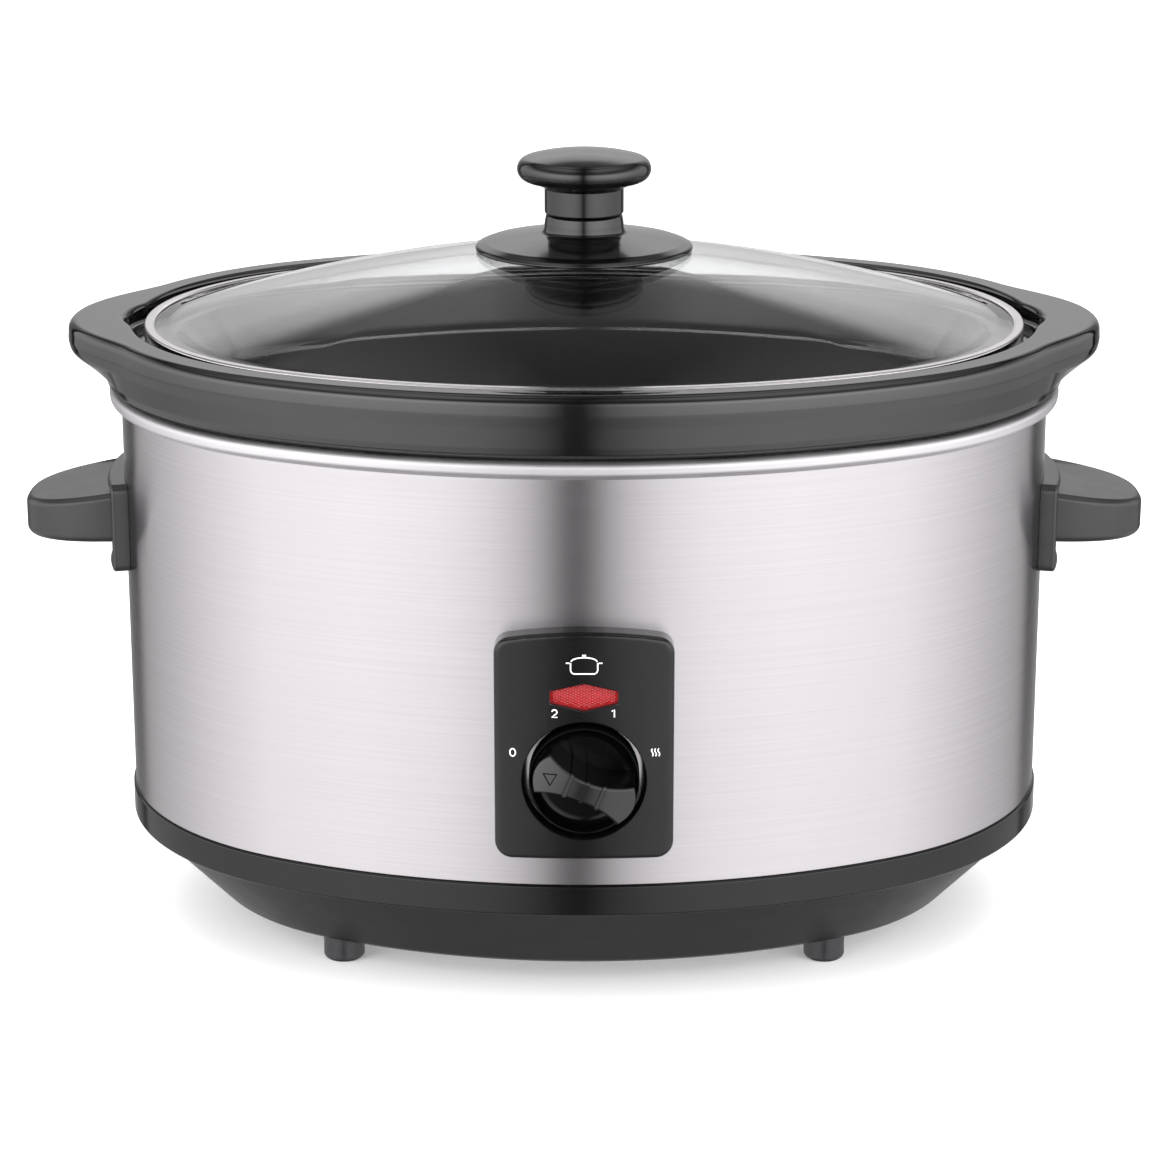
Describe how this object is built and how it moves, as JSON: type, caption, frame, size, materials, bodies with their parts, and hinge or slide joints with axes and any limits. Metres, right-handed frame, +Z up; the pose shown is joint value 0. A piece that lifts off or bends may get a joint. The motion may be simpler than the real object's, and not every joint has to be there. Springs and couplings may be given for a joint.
{
  "type": "slow cooker",
  "caption": "Oval electric slow cooker with a steel body, a lift-out stoneware crock, a domed glass lid, side handles and a rotary heat switch.",
  "frame": {"origin": "on the table plane under the middle of the oval body", "axes": "+X to the right as seen from the front, +Y to the back, +Z up; the control panel faces -Y"},
  "size_m": [0.415, 0.2925, 0.2887],
  "materials": {
    "steel_body": "circumferentially brushed stainless steel",
    "pot_metal": "satin",
    "heater": "woven glass-fibre band",
    "plated_steel": "zinc plated",
    "base_black": "gloss band over a satin skirt",
    "rubber_black": "smooth",
    "handle_grey": "satin moulded",
    "panel_grey": "satin moulded",
    "lens_red": "prismatic red lens",
    "lamp_glass": "clear neon lamp",
    "switch_plastic": "moulded",
    "fuse_body": "plated",
    "terminal_plastic": "moulded",
    "wire_sleeves": "insulated wire",
    "knob_black": "glossy moulded",
    "crock_glaze": "black gloss glaze",
    "lid_glass": "clear tempered glass",
    "lid_steel": "polished rolled channel",
    "silicone": "translucent silicone"
  },
  "bodies": {
    "housing": {"outer_shell": "steel_body", "heating_pot": "pot_metal", "heating_band": "heater", "clamp_hoop": "plated_steel", "bottom_cover": "plated_steel", "cover_screws": "plated_steel", "foot_screws": "plated_steel", "centre_stud": "plated_steel", "centre_nut": "plated_steel", "handle_plates": "plated_steel", "handle_screws": "plated_steel", "panel_screws": "plated_steel", "switch_bracket": "plated_steel", "switch_nut": "plated_steel", "fuse_clip": "plated_steel", "base_pan": "base_black", "cord_gland": "base_black", "gland_nut": "base_black", "feet": "rubber_black", "handle_left": "handle_grey", "handle_right": "handle_grey", "control_bezel": "panel_grey", "indicator_lens": "lens_red", "indicator_lamp": "lamp_glass", "rotary_switch": "switch_plastic", "thermal_fuse": "fuse_body", "terminal_block": "terminal_plastic", "internal_wires": "wire_sleeves"},
    "knob": {"selector_knob": "knob_black", "switch_shaft": "fuse_body", "knob_spring": "plated_steel"},
    "crock": {"crock": "crock_glaze"},
    "lid": {"lid_glass": "lid_glass", "lid_rim": "lid_steel", "lid_knob": "knob_black", "lid_knob_base": "knob_black", "lid_gasket": "silicone", "lid_washer": "plated_steel", "lid_screw": "plated_steel"}
  },
  "joints": [
    {"name": "knob_turn", "type": "hinge", "parent": "housing", "child": "knob", "pos_m": [0, -0.12625, 0.0932], "axis": [0, 1, 0], "range_deg": [0, 135]},
    {"name": "crock_lift", "type": "slide", "parent": "housing", "child": "crock", "axis": [0, 0, 1], "range_m": [0, 0.16]},
    {"name": "lid_lift", "type": "slide", "parent": "crock", "child": "lid", "axis": [0, 0, 1], "range_m": [0, 0.12]}
  ]
}
